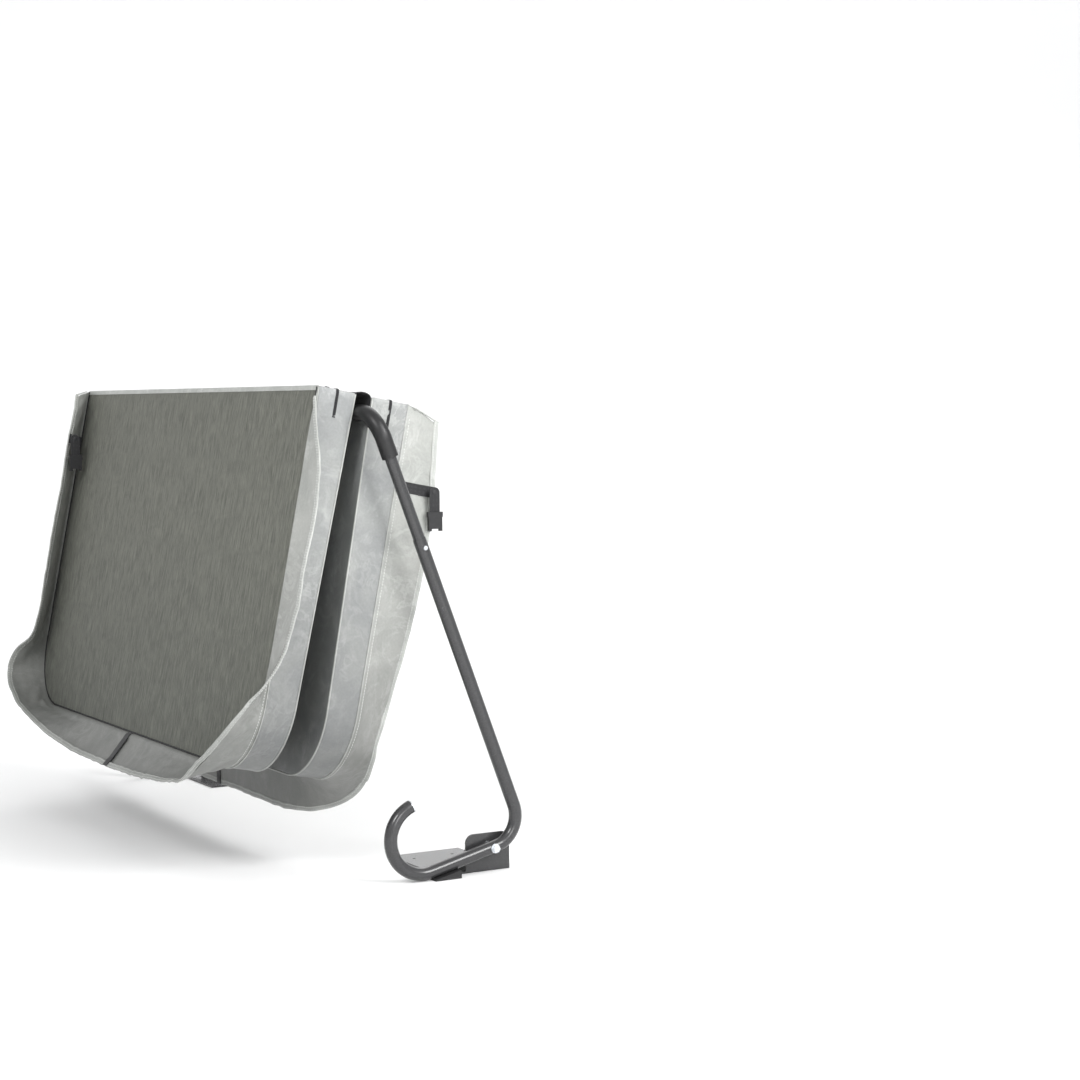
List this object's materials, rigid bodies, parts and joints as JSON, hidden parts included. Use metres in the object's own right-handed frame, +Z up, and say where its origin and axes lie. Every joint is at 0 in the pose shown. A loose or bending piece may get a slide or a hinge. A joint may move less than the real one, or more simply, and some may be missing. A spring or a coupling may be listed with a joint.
{
  "type": "spa cover",
  "caption": "Folded two-panel insulated spa cover with skirts and tie-down straps, hanging over the crossbar of a swing-over cover lifter.",
  "frame": {"origin": "on the floor, under the centre of the whole part's bounding box", "axes": "+X along the crossbar to the end nearest the viewer, +Y towards the tub, +Z up"},
  "size_m": [2.077, 0.879, 1.33],
  "materials": {
    "vinyl": "embossed marine vinyl, light grey, marbled",
    "lining": "woven underside fabric, dark olive grey",
    "skirt_vinyl": "same vinyl as the skin",
    "hem_binding": "folded and stitched vinyl",
    "webbing": "woven black webbing",
    "black_plastic": "moulded black plastic",
    "rubber": "black rubber",
    "tube": "charcoal powder coat",
    "zinc": "bright zinc",
    "channel": "galvanised",
    "foam": "expanded foam",
    "film": "vapour film",
    "soft_grip": "smooth foam sleeve"
  },
  "bodies": {
    "base": {"right_bracket": "tube", "right_gussets": "tube", "right_stop_pad": "rubber", "right_pivot_bolt": "zinc", "right_pivot_nut": "zinc", "right_pivot_washers": "zinc", "left_bracket": "tube", "left_gussets": "tube", "left_stop_pad": "rubber", "left_pivot_bolt": "zinc", "left_pivot_nut": "zinc", "left_pivot_washers": "zinc"},
    "lifter": {"right_pivot_tube": "tube", "right_corner_tube": "tube", "right_bend_sleeve": "soft_grip", "right_end_plug": "zinc", "right_bushing": "black_plastic", "left_pivot_tube": "tube", "left_corner_tube": "tube", "left_bend_sleeve": "soft_grip", "left_end_plug": "zinc", "left_bushing": "black_plastic", "crossbar_tube": "tube", "joint_screws": "zinc"},
    "rear_half": {"rear_core": "foam", "rear_vapour_film": "film", "rear_hinge_channel": "channel", "rear_skin": "vinyl", "rear_lining": "lining", "rear_skirt": "skirt_vinyl", "rear_hem": "hem_binding", "rear_zipper": "webbing", "rear_strap_bands": "webbing", "hinge_strip": "webbing", "bar_loops": "webbing"},
    "front_half": {"front_core": "foam", "front_vapour_film": "film", "front_hinge_channel": "channel", "front_skin": "vinyl", "front_lining": "lining", "front_skirt": "skirt_vinyl", "front_hem": "hem_binding", "front_zipper": "webbing", "front_strap_bands": "webbing"},
    "rear_slider": {"rear_zip_slider": "black_plastic"},
    "rear_pull": {"rear_zip_pull": "black_plastic"},
    "rear_side_strap": {"rear_side_tail": "webbing", "rear_side_buckle": "black_plastic"},
    "front_slider": {"front_zip_slider": "black_plastic"},
    "front_pull": {"front_zip_pull": "black_plastic"},
    "front_side_strap": {"front_side_tail": "webbing", "front_side_buckle": "black_plastic"}
  },
  "joints": [
    {"name": "lifter_swing", "type": "hinge", "parent": "base", "child": "lifter", "pos_m": [0, 0.3484, 0.068], "axis": [-1, 0, 0], "range_deg": [0, 52]},
    {"name": "cover_swing", "type": "hinge", "parent": "lifter", "child": "rear_half", "pos_m": [0, 0.01581, 1.25591], "axis": [1, 0, 0], "range_deg": [-27, 0]},
    {"name": "cover_fold", "type": "hinge", "parent": "rear_half", "child": "front_half", "pos_m": [0, 0.02837, 1.31765], "axis": [-1, 0, 0], "range_deg": [0, 180], "deforming": ["hinge_strip"]},
    {"name": "rear_zip_slide", "type": "slide", "parent": "rear_half", "child": "rear_slider", "axis": [1, 0, 0], "range_m": [0, 1.7]},
    {"name": "rear_pull_flip", "type": "hinge", "parent": "rear_slider", "child": "rear_pull", "pos_m": [-0.86, 0.10418, 1.29406], "axis": [0, -0.9799, 0.1994], "range_deg": [0, 45]},
    {"name": "rear_side_strap_swing", "type": "hinge", "parent": "rear_half", "child": "rear_side_strap", "pos_m": [0.94099, 0.22373, 1.03808], "axis": [1, 0, 0], "range_deg": [-100, 100]},
    {"name": "front_zip_slide", "type": "slide", "parent": "front_half", "child": "front_slider", "axis": [-1, 0, 0], "range_m": [0, 1.7]},
    {"name": "front_pull_flip", "type": "hinge", "parent": "front_slider", "child": "front_pull", "pos_m": [0.86, -0.05064, 1.32556], "axis": [0, 0.9799, -0.1994], "range_deg": [0, 45]},
    {"name": "front_side_strap_swing", "type": "hinge", "parent": "front_half", "child": "front_side_strap", "pos_m": [-0.81444, -0.19996, 1.17327], "axis": [1, 0, 0], "range_deg": [-100, 8]}
  ]
}
